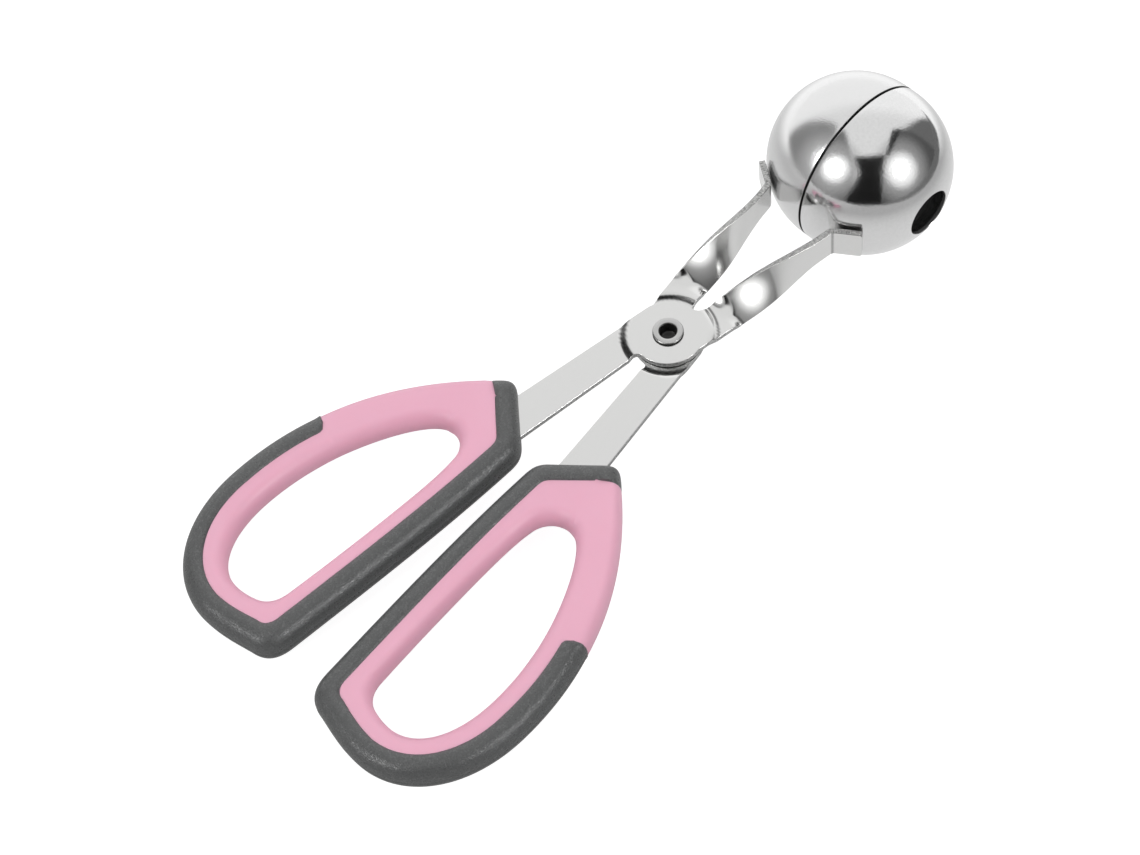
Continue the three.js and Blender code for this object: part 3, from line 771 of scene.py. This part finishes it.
def core_grid(rim, seam, hole, stop):
    """Pink loop: rounded at the finger opening, with a tongue under the grip and bare elsewhere."""
    inner = quarter_round(CORE_INNER_ROUND, CORE_HALF, 12)[::-1]
    inner = rows_from(HOLE, np.concatenate([inner, [[CORE_INNER_ROUND + FLAT_OVERRUN, CORE_HALF]]]))
    bare = quarter_round(CORE_OUTER_ROUND, CORE_HALF, 14)
    bare = rows_from(RIM, np.concatenate([[[CORE_OUTER_ROUND + FLAT_OVERRUN, CORE_HALF]], bare]))
    wall = np.linspace(CORE_HALF, TONGUE_HALF, WALL_STEPS + 1)[1:]
    ledge = np.linspace(GRIP_WIDTH, TONGUE_INSET, WALL_STEPS + 1)[1:]
    tongue = np.concatenate([
        rows_from(SEAM, np.array([[FLAT_OVERRUN, CORE_HALF], [SEAM_GAP, CORE_HALF]])),
        rows_from(SEAM, np.stack([np.full_like(wall, SEAM_GAP), wall], axis=1)),
        rows_from(RIM, np.stack([ledge, np.full_like(ledge, TONGUE_HALF)], axis=1)),
        rows_from(RIM, np.stack([np.full(4, TONGUE_INSET), np.linspace(TONGUE_WALL, 0, 4)], axis=1)),
    ])
    lines = (rim, seam, hole)
    covered = section_grid(both_halves(np.concatenate([inner, tongue])), *(p[: stop + 1] for p in lines))
    onward = [np.concatenate([p[stop:], p[:1]]) for p in lines]
    onward[SEAM][0] = rim[stop] + GRIP_WIDTH * unit(hole - rim)[stop]
    uncovered = section_grid(both_halves(np.concatenate([inner, bare])), *onward)
    return np.concatenate([covered, uncovered])


def core_height(distance):
    """Height of the bare core's rounded outer edge at a distance in from the rim."""
    share = np.clip(distance / CORE_OUTER_ROUND, 0, 1)
    return CORE_HALF * (1 - (1 - share) ** ROUND_POWER) ** (1 / ROUND_POWER)


def grip_grid(rim, seam, hole, along, stop):
    """Grey band: a crowned round over the outer edge, easing down to the core at both ends."""
    crown = quarter_round(GRIP_CROWN_INSET, GRIP_CROWN, 18)[::-1]
    crown[0, 0] = PARTING_GROOVE
    seam_height = CORE_HALF + GRIP_SEAM_STEP
    step = np.linspace(0, 1, 8)[1:]
    width = GRIP_WIDTH - GRIP_CROWN_INSET
    drop = step**GRIP_SLOPE_POWER * (GRIP_CROWN - seam_height)
    slope = np.stack([GRIP_CROWN_INSET + width * step, GRIP_CROWN - drop], axis=1)
    slope[-1] = [GRIP_WIDTH - SEAM_EDGE[0], seam_height - SEAM_EDGE[1]]
    slope[-2] = [GRIP_WIDTH - SEAM_SHOULDER, seam_height]
    under = np.array([
        [GRIP_WIDTH, CORE_HALF - SEAM_SINK], [GRIP_WIDTH, TONGUE_HALF + SEAM_GAP],
        [TONGUE_INSET - SEAM_GAP, TONGUE_HALF + SEAM_GAP], [TONGUE_INSET - SEAM_GAP, 0],
    ])
    section = both_halves(rows_from(RIM, np.concatenate([crown, slope, under])))
    keep = slice(0, stop + 1)
    grid = section_grid(section, rim[keep], seam[keep], hole[keep])
    from_end = np.minimum(along[keep], along[stop] - along[keep])
    ease = 1 - np.sqrt(1 - (1 - np.clip(from_end / GRIP_END_EASE, 0, 1)) ** 2)
    outer = np.abs(section[:, 2]) > TONGUE_HALF + SEAM_GAP
    extra = np.maximum(np.abs(section[:, 2]) - core_height(section[:, 1]), 0) * outer
    grid[..., 2] -= np.sign(section[:, 2]) * extra * ease[:, None]
    return grid


# Materials


class Nodes:
    """Maker of linked nodes in one node tree."""

    def __init__(self, tree):
        self.tree = tree

    def fill(self, node, inputs):
        """Sets a node's inputs to values, or links them to other nodes' outputs."""
        for key, value in inputs.items():
            if isinstance(value, bpy.types.NodeSocket):
                self.tree.links.new(value, node.inputs[key])
            else:
                node.inputs[key].default_value = value

    def add(self, kind, inputs=None, **settings):
        """A new node with its settings and inputs."""
        node = self.tree.nodes.new(kind)
        for key, value in settings.items():
            setattr(node, key, value)
        self.fill(node, inputs or {})
        return node

    def place(self, output):
        """The texture coordinates of this name."""
        return self.add("ShaderNodeTexCoord").outputs[output]

    def calc(self, operation, *values, **settings):
        """Result of a math node."""
        node = self.add("ShaderNodeMath", dict(enumerate(values)), operation=operation, **settings)
        return node.outputs["Value"]

    def vector(self, operation, output, *values):
        """Result of a vector math node."""
        return self.add("ShaderNodeVectorMath", dict(enumerate(values)), operation=operation).outputs[output]

    def span(self, value, start, end, first, last, **settings):
        """From first to last as the value goes from start to end."""
        node = self.add("ShaderNodeMapRange", {
            "Value": value, "From Min": start, "From Max": end, "To Min": first, "To Max": last}, **settings)
        return node.outputs["Result"]

    def ramp(self, value, start, end):
        """0 at start, 1 at end, level at both."""
        return self.span(value, start, end, 0.0, 1.0, interpolation_type="SMOOTHSTEP")

    def noise(self, place, scale, detail, roughness=0.5):
        """Cloudy noise from 0 to 1."""
        return self.add("ShaderNodeTexNoise", {
            "Vector": place, "Scale": scale, "Detail": detail, "Roughness": roughness}).outputs["Fac"]

    def mix(self, share, first, second):
        """The first colour where the share is 0, the second where it is 1."""
        return self.add("ShaderNodeMix", {"Factor": share, 6: first, 7: second}, data_type="RGBA").outputs[2]

    def bump(self, height, distance, **inputs):
        """Normals tilted by the slope of a height times a distance in metres."""
        return self.add("ShaderNodeBump", {
            "Height": height, "Strength": 1.0, "Distance": distance, **inputs}).outputs["Normal"]


class Finish(Nodes):
    """A material with its shader."""

    def __init__(self, name):
        self.material = bpy.data.materials.new(name)
        self.material.use_nodes = True
        super().__init__(self.material.node_tree)
        self.shader = self.tree.nodes["Principled BSDF"]

    def shade(self, inputs):
        """Fills the shader's inputs."""
        self.fill(self.shader, inputs)

    def fed(self, name):
        """What feeds one of the shader's inputs."""
        return self.shader.inputs[name].links[0].from_socket

    def mark(self):
        """The mark that a piece keeps at each point."""
        return self.add("ShaderNodeAttribute", attribute_name="mark").outputs["Fac"]

    def roughen(self, mask, amount):
        """Adds a mask times an amount to the roughness."""
        self.shade({"Roughness": self.calc("MULTIPLY_ADD", mask, amount, self.fed("Roughness"))})

    def darken(self, mask, tone):
        """Mixes a tone into the colour by a mask."""
        self.shade({"Base Color": self.mix(mask, self.fed("Base Color"), tone)})


def colour(red, green, blue):
    """Display colour, 0 to 255, as the linear values that the nodes use."""
    share = np.array([red, green, blue]) / 255
    linear = np.where(share <= 0.04045, share / 12.92, ((share + 0.055) / 1.055) ** 2.4)
    return (*linear.tolist(), 1.0)


def steel(name, tone, roughness, grain_scale, grain_height, spread):
    """Polished stainless steel: a fine grain that is stronger in patches, and patches less bright."""
    finish = Finish(name)
    place = finish.place("Object")
    patches = finish.noise(place, 90.0, 3.0)
    fine = finish.noise(place, grain_scale, 2.0)
    grain = finish.calc("MULTIPLY", fine, finish.span(patches, 0.3, 0.7, 0.5, 1.5))
    finish.shade({
        "Base Color": finish.mix(finish.span(fine, 0.25, 0.75, 0.94, 1.0), colour(0, 0, 0), tone),
        "Roughness": finish.span(patches, 0.3, 0.7, roughness - spread, roughness + spread),
        "Normal": finish.bump(grain, grain_height),
        "Metallic": 1.0,
    })
    return finish


def strip_material():
    """Rolled strip: polished faces, cut edges that are dull, speckled dark and streaked upright, and
    painted dark bands: painted shade over the pressed steps and a darker band along the bend.
    """
    finish = steel("strip_steel_finish", colour(217, 217, 216), 0.15, 5000.0, 2.5e-6, 0.03)
    lengths = finish.add("ShaderNodeUVMap", uv_map="lengths").outputs["UV"]
    stretched = finish.add("ShaderNodeMapping", {"Vector": lengths, "Scale": (2.6, 1.1, 1.0)})
    shear = finish.noise(stretched.outputs["Vector"], 1.0, 5.0, 0.75)
    mark = finish.mark()
    edge = finish.calc("MAXIMUM", mark, 0.0)
    # Painted dark bands: painted shade over the pressed steps and a darker band along the bend's middle; the
    # negative marks darken and roughen them.
    painted_dark = finish.calc("MULTIPLY", mark, -1.0, use_clamp=True)
    height = finish.calc("MULTIPLY", shear, edge)
    finish.shade({"Normal": finish.bump(height, 2.2e-4, Normal=finish.fed("Normal"))})
    finish.roughen(edge, 0.17)
    finish.roughen(painted_dark, 0.12)
    speckle = finish.calc("MULTIPLY", finish.span(shear, 0.38, 0.58, 0.8, 0.12), edge)
    streak = finish.span(shear, 0.35, 0.65, 1.0, 0.8)
    # Real dark speckle on the cut edges, plus the painted shade bands.
    finish.darken(finish.calc("MULTIPLY_ADD", streak, painted_dark, speckle), colour(40, 40, 40))
    return finish.material


def ball_material(name, roughness, grain_scale, grain_height, haze):
    """Drawn and polished cup, a little hazy, with a dull inside and cut edge that are darkened as painted
    shade.
    """
    finish = steel(name, colour(218, 218, 218), roughness, grain_scale, grain_height, 0.03)
    # Painted shade: the mark darkens the cut rim at the parting gap and the hollow inside, and dulls them.
    inside = finish.mark()
    finish.roughen(inside, 0.15)
    finish.darken(inside, colour(70, 70, 70))
    finish.shade({"Metallic": finish.calc("MULTIPLY_ADD", inside, -0.5, 1 - haze)})
    return finish.material


def rivet_material():
    """Plain steel with a coarser grain, and a rough bore, darkened with the ring's foot and side as painted
    shade.
    """
    finish = steel("rivet_steel_finish", colour(188, 188, 187), 0.3, 2200.0, 3e-5, 0.06)
    # Painted shade: the mark darkens and roughens the bore, the ring's foot and its side.
    bore = finish.mark()
    finish.roughen(bore, 0.2)
    finish.darken(bore, colour(90, 90, 89))
    return finish.material


def pink_material():
    """Satin pink moulding: faint cloudy shade and a very fine spark-eroded grain."""
    finish = Finish("pink_plastic_finish")
    place = finish.place("Object")
    cloud = finish.noise(place, 60.0, 2.0)
    finish.shade({
        "Base Color": finish.mix(cloud, colour(232, 172, 194), colour(236, 179, 200)),
        "Roughness": finish.span(cloud, 0.3, 0.7, 0.36, 0.42),
        "Normal": finish.bump(finish.noise(place, 2600.0, 2.0), 1.5e-5),
        "IOR": 1.46,
        "Subsurface Weight": 0.12,
        "Subsurface Radius": (1.0, 0.5, 0.6),
        "Subsurface Scale": 0.0012,
    })
    return finish.material


def grey_material():
    """Soft grey moulding with a fine leathery grain that sparkles in its highlights."""
    finish = Finish("grey_soft_plastic_finish")
    place = finish.place("Object")
    pebbles = finish.add("ShaderNodeTexVoronoi", {"Vector": place, "Scale": 2300.0}, feature="SMOOTH_F1")
    grain = finish.calc("MULTIPLY_ADD", pebbles.outputs["Distance"], 0.6, finish.noise(place, 3800.0, 3.0))
    flecks = finish.add("ShaderNodeTexVoronoi", {"Vector": place, "Scale": 3000.0}).outputs["Color"]
    bright = finish.add("ShaderNodeSeparateColor", {"Color": flecks}).outputs["Red"]
    cloud = finish.noise(place, 50.0, 2.0)
    finish.shade({
        "Base Color": finish.mix(cloud, colour(77, 78, 78), colour(85, 86, 86)),
        "Normal": finish.bump(grain, 8e-5),
        "Specular IOR Level": finish.span(bright, 0.55, 1.0, 0.36, 0.75),
        "Roughness": finish.span(bright, 0.55, 1.0, 0.36, 0.26),
        "IOR": 1.6,
    })
    return finish.material


strip_finish = strip_material()
rivet_finish = rivet_material()
pink_finish = pink_material()
grey_finish = grey_material()

# Assembly

strip, strip_lengths, strip_mark, strip_hole = strip_grid()
strip_ends = strip_end_faces(strip.shape[1])
cup, cup_mark = cup_grid()
rim, seam, hole, along, stop = loop_stations()
core = core_grid(rim, seam, hole, stop)
grip = grip_grid(rim, seam, hole, along, stop)
grip_end = [list(range(grip.shape[1]))]


def same(points):
    """The drawn arm, left as it is."""
    return points


def arm(body, turn, names, nodes, cup_finish):
    """The four visible pieces of one arm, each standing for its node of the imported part."""
    strip_name, cup_name, core_name, grip_name = names
    strip_node, cup_node, core_node, grip_node = nodes
    piece(strip_name, turn(strip), body, strip_node, strip_finish,
          ends=strip_ends, lengths=strip_lengths, marks=strip_mark, hole=strip_hole)
    piece(cup_name, turn(cup), body, cup_node, cup_finish,
          close_rows=True, marks=cup_mark)
    piece(core_name, turn(core), body, core_node, pink_finish, close_rows=True)
    piece(grip_name, turn(grip), body, grip_node, grey_finish, ends=grip_end)


arm("upper_arm", same,
    ("strip_over", "half_ball_right", "finger_loop_left", "grip_band_left"),
    ("blade_upper", "cup_right", "handle_core_left", "grip_left"),
    ball_material("bright_ball_finish", 0.11, 1500.0, 1.2e-5, 0.015))
arm("lower_arm", turned_over,
    ("strip_under", "half_ball_left", "finger_loop_right", "grip_band_right"),
    ("blade_lower", "cup_left", "handle_core_right", "grip_right"),
    ball_material("hazy_ball_finish", 0.17, 2600.0, 2e-5, 0.14))
rivet, rivet_mark = rivet_grid()
piece("hollow_rivet", rivet, "upper_arm", "pivot_rivet", rivet_finish,
      ends=[list(range(rivet.shape[1]))], marks=rivet_mark)

# Camera at the photo's own place and lens, in millimetres

EYE = np.array([-263.9, -264.27, 549.1])
LOOK = np.array([0.382887, 0.408019, -0.828805])
CAMERA_UP = np.array([0.591201, 0.581163, 0.559224])
SENSOR = 36.0
FOCAL_PIXELS = 2647.5
PHOTO_WIDTH = 1140

lens = bpy.data.cameras.new("photo_camera")
lens.sensor_fit = "HORIZONTAL"
lens.sensor_width = SENSOR
lens.lens = FOCAL_PIXELS * SENSOR / PHOTO_WIDTH
lens.clip_start, lens.clip_end = 0.01, 20.0
camera = bpy.data.objects.new("photo_camera", lens)
right = np.cross(LOOK, CAMERA_UP)
right /= np.linalg.norm(right)
above = np.cross(right, LOOK)
camera.matrix_world = Matrix.Translation(Vector(EYE * MM)) @ Matrix(
    np.column_stack([right, above, -LOOK]).tolist()).to_4x4()
bpy.context.scene.collection.objects.link(camera)
bpy.context.scene.camera = camera

# Floor and light

bpy.context.scene.view_settings.view_transform = "Standard"

# The floor. Places on it are measured along the camera's right and its look, in metres, and a pair is
# where a soft edge begins and where it is full. The lit table glows more near the ball and to the
# left, and behind it widens to a bright backdrop. Diffuse rays see its glow less the shade loss.
FLOOR_HALF = 4.0
FLOOR_HEIGHT = -0.0001
FLOOR_WHITE = 0.92
TABLE_MIDDLE = -0.25
TABLE_SIDE = (0.56, 0.52)
TABLE_FRONT = (-0.8, -0.6)
TABLE_BACK = 0.12
TABLE_GLOW = 0.1
FAR_GLOW = 0.1
BALL_FOOT = (0.089, 0.0, 0.0)
NEAR_BALL = (0.15, 0.02)
NEAR_GLOW = 0.4
LEFT_SIDE = (0.05, -0.25)
LEFT_GLOW = 0.15
BACKDROP_SPREAD = 1.5
BACKDROP_FADE = (0.02, 0.12)
BACKDROP_GLOW = 0.95
SHADE_LOSS = 0.5

# The room: its brightness, and what lies over it in this order. An ellipse has its centre and half
# sizes, a panel its corners, both right and down over a mirroring ball's disc, and then come the
# softness and the brightness.
ROOM_LEVEL = 1.2
ROOM_TONES = [
    ((0.05, -0.1), (0.8, 0.46), 0.35, 0.98),
]
PANELS = [
    ([(-0.95, 0.7), (-0.88, 0.0), (-0.78, -0.27), (-0.67, -0.38), (-0.55, -0.43), (-0.4, -0.42),
      (-0.25, -0.36), (-0.19, -0.08), (-0.15, 0.7)], 0.035, 0.2),
    ([(0.38, -0.36), (0.5, -0.46), (0.6, -0.51), (0.72, -0.5), (0.84, -0.3), (0.9, 0.1),
      (0.5, -0.2)], 0.05, 0.17),
    ([(0.15, 0.7), (0.19, -0.07), (0.27, -0.35), (0.4, -0.37), (0.56, -0.3), (0.8, -0.14),
      (0.95, 0.0), (0.95, 0.7)], 0.025, 0.1),
]
GLOWS = [
    ((-0.38, 0.06), (0.27, 0.28), 0.85, 0.5),
    ((-0.37, 0.07), (0.15, 0.15), 0.65, 1.3),
    ((0.36, 0.08), (0.27, 0.31), 0.85, 0.45),
    ((0.36, 0.08), (0.17, 0.18), 0.7, 1.3),
]
GAPS = [
    ([(0.185, -0.07), (0.26, -0.34), (0.36, -0.37), (0.31, -0.25), (0.215, -0.07)], 0.015, 0.02),
    ([(-0.16, -0.05), (0.18, -0.075), (0.145, 0.14), (-0.1, 0.14)], 0.03, 0.0),
    ([(-0.36, 0.65), (-0.07, 0.06), (0.145, 0.06), (0.2, 0.65)], 0.03, 0.0),
]
LAMPS = [
    ((-0.375, 0.06), (0.075, 0.075), 0.7, 12.0),
    ((0.355, 0.07), (0.072, 0.08), 0.7, 12.0),
]


def pale_floor():
    """Pale paper under the tool: plain white to the camera, a lit table in the steel's reflections."""
    mesh = bpy.data.meshes.new("pale_floor")
    a = FLOOR_HALF
    mesh.from_pydata([(-a, -a, 0), (a, -a, 0), (a, a, 0), (-a, a, 0)], [], [(0, 1, 2, 3)])
    finish = Finish("pale_floor")
    calc, ramp = finish.calc, finish.ramp
    place = finish.place("Object")
    behind = finish.vector("DOT_PRODUCT", "Value", place, (LOOK[0], LOOK[1], 0))
    rightward = finish.vector("DOT_PRODUCT", "Value", place, (right[0], right[1], 0))
    sideways = calc("ABSOLUTE", calc("SUBTRACT", rightward, TABLE_MIDDLE), 0.0)
    spread = calc("MAXIMUM", calc("SUBTRACT", behind, TABLE_BACK), 0.0)
    sideways = calc("MULTIPLY_ADD", spread, -BACKDROP_SPREAD, sideways)
    lit = calc("MULTIPLY", ramp(sideways, *TABLE_SIDE), ramp(behind, *TABLE_FRONT))
    from_ball = finish.vector("DISTANCE", "Value", place, BALL_FOOT)
    near = calc("MULTIPLY", ramp(from_ball, *NEAR_BALL), NEAR_GLOW)
    left = calc("MULTIPLY", ramp(rightward, *LEFT_SIDE), LEFT_GLOW)
    table = calc("ADD", calc("ADD", near, left), TABLE_GLOW)
    glow = calc("MULTIPLY_ADD", lit, table, FAR_GLOW)
    backdrop = calc("MULTIPLY", ramp(behind, *BACKDROP_FADE), BACKDROP_GLOW)
    glow = calc("MAXIMUM", glow, calc("MULTIPLY", backdrop, lit))
    path = finish.add("ShaderNodeLightPath").outputs
    glow = calc("MULTIPLY", glow, calc("MULTIPLY_ADD", path["Is Diffuse Ray"], -SHADE_LOSS, 1.0))
    glow = calc("MULTIPLY_ADD", calc("SUBTRACT", FLOOR_WHITE, glow), path["Is Camera Ray"], glow)
    finish.shade({
        "Base Color": finish.mix(lit, colour(30, 30, 30), colour(150, 150, 150)),
        "Emission Color": (1, 1, 1, 1),
        "Emission Strength": glow,
        "Roughness": 0.9,
    })
    mesh.materials.append(finish.material)
    obj = bpy.data.objects.new("pale_floor", mesh)
    obj.location.z = FLOOR_HEIGHT
    bpy.context.scene.collection.objects.link(obj)


def studio_world():
    """A white room with darker parts round the camera's place and two soft lamps beside it.

    A direction is told by the spot of a ball that mirrors it to the camera: half way between the
    direction and the camera's, measured right and down over the ball's disc. A panel is a convex
    shape there by its corners, a lamp an ellipse. Both have soft edges.
    """
    world = bpy.data.worlds.new("studio")
    bpy.context.scene.world = world
    world.use_nodes = True
    world.node_tree.nodes.clear()
    nodes = Nodes(world.node_tree)
    calc, ramp = nodes.calc, nodes.ramp
    half_way = nodes.vector("ADD", "Vector", nodes.place("Generated"), tuple(-LOOK))
    spot = nodes.vector("NORMALIZE", "Vector", half_way)
    across = nodes.vector("DOT_PRODUCT", "Value", spot, tuple(right))
    down = nodes.vector("DOT_PRODUCT", "Value", spot, tuple(-above))

    def panel(corners, soft):
        """Product over the sides of a soft threshold of the distance inside each."""
        mask = 1.0
        for (u, w), (next_u, next_w) in zip(corners, corners[1:] + corners[:1]):
            length = math.hypot(next_u - u, next_w - w)
            c, s = (u - next_u) / length, (next_w - w) / length
            inside = calc("MULTIPLY_ADD", across, -s, calc("MULTIPLY_ADD", down, -c, s * u + c * w))
            mask = calc("MULTIPLY", ramp(inside, -soft, soft), mask)
        return mask

    def lamp(centre, size, soft):
        """1 inside the ellipse, 0 outside, by the squared distance in its own half sizes."""
        x = calc("MULTIPLY_ADD", across, 1 / size[0], -centre[0] / size[0])
        y = calc("MULTIPLY_ADD", down, 1 / size[1], -centre[1] / size[1])
        return ramp(calc("MULTIPLY_ADD", x, x, calc("MULTIPLY", y, y)), 1 + soft, 1 - soft)

    level = calc("ADD", ROOM_LEVEL, 0.0)
    layers = [(lamp, ROOM_TONES), (panel, PANELS), (lamp, GLOWS), (panel, GAPS), (lamp, LAMPS)]
    for make, shapes in layers:
        for *shape, value in shapes:
            level = calc("MULTIPLY_ADD", calc("SUBTRACT", value, level), make(*shape), level)
    seen = nodes.add("ShaderNodeLightPath").outputs["Is Camera Ray"]
    strength = calc("MULTIPLY_ADD", calc("SUBTRACT", 1.0, level), seen, level)
    background = nodes.add("ShaderNodeBackground", {"Color": (1, 1, 1, 1), "Strength": strength})
    nodes.add("ShaderNodeOutputWorld", {"Surface": background.outputs["Background"]})


pale_floor()
studio_world()
